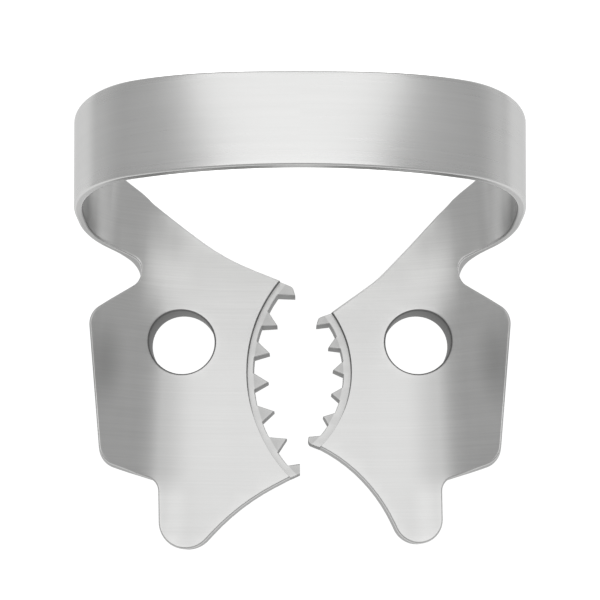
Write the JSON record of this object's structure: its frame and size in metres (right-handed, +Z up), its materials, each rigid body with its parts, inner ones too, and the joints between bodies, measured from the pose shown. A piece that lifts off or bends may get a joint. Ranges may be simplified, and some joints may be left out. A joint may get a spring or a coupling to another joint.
{
  "type": "rubber dam clamp",
  "caption": "Winged dental rubber dam clamp: toothed jaw plates with forceps holes, angled side wings and rounded noses, joined by a high arched spring bow.",
  "frame": {"origin": "middle of the footprint, on the plane of the flat underside of the two jaw plates", "axes": "+X across the jaws towards the narrower jaw plate, +Y from the noses towards the bow, +Z up through the bow"},
  "size_m": [0.0272, 0.0242, 0.013],
  "materials": {
    "spring_steel": "fine satin brushing with softly polished edges"
  },
  "bodies": {
    "root": {"dam_clamp": "spring_steel"}
  },
  "joints": []
}
